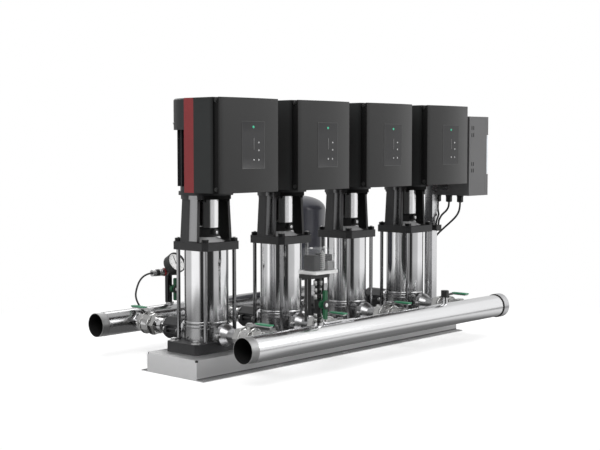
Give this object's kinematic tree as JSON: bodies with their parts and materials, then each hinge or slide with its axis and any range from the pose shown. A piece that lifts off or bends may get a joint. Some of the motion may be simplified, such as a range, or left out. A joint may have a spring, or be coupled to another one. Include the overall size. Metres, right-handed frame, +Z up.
{
  "type": "booster pump set",
  "caption": "Row of vertical multistage pumps with drive boxes on a folded frame, between a suction and a discharge manifold with valves, gauge, switch, tank and cabinet",
  "frame": {"origin": "middle of the base frame's underside, at the centre of its four anchor holes", "axes": "+X along the row of pumps towards the cabinet, +Y towards the discharge manifold, +Z up along the pump shafts"},
  "size_m": [1.4093, 0.8308, 0.8125],
  "materials": {
    "frame_paint": "satin",
    "black_casting": "satin",
    "stainless": "brushed",
    "polished_steel": "polished",
    "bolt_steel": "satin",
    "nickel_brass": "satin",
    "black_plastic": "matte",
    "motor_paint": "satin",
    "red_plastic": "matte",
    "drive_plastic": "satin",
    "green_grip": "satin",
    "cap_metal": "satin",
    "seal_rubber": "matte",
    "tank_paint": "satin",
    "clear_glass": "polished",
    "clear_cover": "polished",
    "pointer_black": "matte",
    "white_plastic": "satin",
    "dark_plastic": "matte",
    "cabinet_paint": "satin"
  },
  "bodies": {
    "pump_set": {"base_frame": "frame_paint", "cabinet_box": "cabinet_paint", "cabinet_cable_1": "seal_rubber", "cabinet_cable_2": "seal_rubber", "cabinet_cable_3": "seal_rubber", "cabinet_glands": "black_plastic", "cabinet_post": "stainless", "cable_clip": "black_plastic", "check_valves": "black_casting", "coupling_guards": "stainless", "diaphragm_tank": "tank_paint", "discharge_clamps": "stainless", "discharge_cones": "stainless", "discharge_manifold": "stainless", "drive_covers": "drive_plastic", "drive_housings": "drive_plastic", "drive_spacers": "red_plastic", "end_caps": "cap_metal", "fan_covers": "motor_paint", "foot_bolts": "bolt_steel", "gauge_case": "black_plastic", "gauge_glass": "clear_glass", "gauge_stand": "stainless", "motor_stators": "motor_paint", "motor_stools": "black_casting", "pressure_transmitter": "black_plastic", "pump_bases": "stainless", "pump_feet": "black_casting", "pump_sleeves": "polished_steel", "seal_covers": "polished_steel", "seal_rings": "seal_rubber", "sensor_cable": "seal_rubber", "socket_plug": "black_plastic", "staybolt_nuts": "bolt_steel", "staybolts": "bolt_steel", "suction_manifold": "stainless", "suction_pipes": "stainless", "switch_base": "white_plastic", "switch_cover": "clear_cover", "switch_stand": "nickel_brass", "switch_works": "dark_plastic", "union_nuts": "nickel_brass", "valve_bodies": "nickel_brass", "vent_plugs": "black_plastic"},
    "cabinet_door": {"cabinet_door": "cabinet_paint"},
    "discharge_lever_1": {"discharge_lever_1": "green_grip"},
    "discharge_lever_2": {"discharge_lever_2": "green_grip"},
    "discharge_lever_3": {"discharge_lever_3": "green_grip"},
    "discharge_lever_4": {"discharge_lever_4": "green_grip"},
    "gauge_pointer": {"gauge_pointer": "pointer_black"},
    "gauge_tap_handle": {"gauge_tap_handle": "green_grip"},
    "rotor_1": {"rotor_1": "bolt_steel"},
    "rotor_2": {"rotor_2": "bolt_steel"},
    "rotor_3": {"rotor_3": "bolt_steel"},
    "rotor_4": {"rotor_4": "bolt_steel"},
    "suction_lever_1": {"suction_lever_1": "green_grip"},
    "suction_lever_2": {"suction_lever_2": "green_grip"},
    "suction_lever_3": {"suction_lever_3": "green_grip"},
    "suction_lever_4": {"suction_lever_4": "green_grip"},
    "switch_tap_handle": {"switch_tap_handle": "green_grip"}
  },
  "joints": [
    {"name": "rotor_1_spin", "type": "hinge", "parent": "pump_set", "child": "rotor_1", "pos_m": [-0.4875, 0.0125, 0.5], "axis": [0, 0, 1], "continuous": true},
    {"name": "rotor_2_spin", "type": "hinge", "parent": "pump_set", "child": "rotor_2", "pos_m": [-0.1625, 0.0125, 0.5], "axis": [0, 0, 1], "continuous": true},
    {"name": "rotor_3_spin", "type": "hinge", "parent": "pump_set", "child": "rotor_3", "pos_m": [0.1625, 0.0125, 0.5], "axis": [0, 0, 1], "continuous": true},
    {"name": "rotor_4_spin", "type": "hinge", "parent": "pump_set", "child": "rotor_4", "pos_m": [0.4875, 0.0125, 0.5], "axis": [0, 0, 1], "continuous": true},
    {"name": "suction_valve_1_turn", "type": "hinge", "parent": "pump_set", "child": "suction_lever_1", "pos_m": [-0.4875, -0.172, 0.15], "axis": [0, 0, 1], "range_deg": [0, 90]},
    {"name": "suction_valve_2_turn", "type": "hinge", "parent": "pump_set", "child": "suction_lever_2", "pos_m": [-0.1625, -0.172, 0.15], "axis": [0, 0, 1], "range_deg": [0, 90]},
    {"name": "suction_valve_3_turn", "type": "hinge", "parent": "pump_set", "child": "suction_lever_3", "pos_m": [0.1625, -0.172, 0.15], "axis": [0, 0, 1], "range_deg": [0, 90]},
    {"name": "suction_valve_4_turn", "type": "hinge", "parent": "pump_set", "child": "suction_lever_4", "pos_m": [0.4875, -0.172, 0.15], "axis": [0, 0, 1], "range_deg": [0, 90]},
    {"name": "discharge_valve_1_turn", "type": "hinge", "parent": "pump_set", "child": "discharge_lever_1", "pos_m": [-0.4875, 0.271, 0.15], "axis": [0, 0, 1], "range_deg": [0, 90]},
    {"name": "discharge_valve_2_turn", "type": "hinge", "parent": "pump_set", "child": "discharge_lever_2", "pos_m": [-0.1625, 0.271, 0.15], "axis": [0, 0, 1], "range_deg": [0, 90]},
    {"name": "discharge_valve_3_turn", "type": "hinge", "parent": "pump_set", "child": "discharge_lever_3", "pos_m": [0.1625, 0.271, 0.15], "axis": [0, 0, 1], "range_deg": [0, 90]},
    {"name": "discharge_valve_4_turn", "type": "hinge", "parent": "pump_set", "child": "discharge_lever_4", "pos_m": [0.4875, 0.271, 0.15], "axis": [0, 0, 1], "range_deg": [0, 90]},
    {"name": "gauge_tap_turn", "type": "hinge", "parent": "pump_set", "child": "gauge_tap_handle", "pos_m": [-0.325, 0.345, 0.2], "axis": [0, -1, 0], "range_deg": [0, 90]},
    {"name": "switch_tap_turn", "type": "hinge", "parent": "pump_set", "child": "switch_tap_handle", "pos_m": [-0.335, -0.325, 0.211], "axis": [0, -1, 0], "range_deg": [0, 90]},
    {"name": "gauge_pointer_turn", "type": "hinge", "parent": "pump_set", "child": "gauge_pointer", "pos_m": [-0.325, 0.33, 0.291], "axis": [0, -0.8662, 0.4998], "range_deg": [-135, 135]},
    {"name": "cabinet_door_turn", "type": "hinge", "parent": "pump_set", "child": "cabinet_door", "pos_m": [0.7453, 0.155, 0.6345], "axis": [0, 0, 1], "range_deg": [0, 110]}
  ]
}
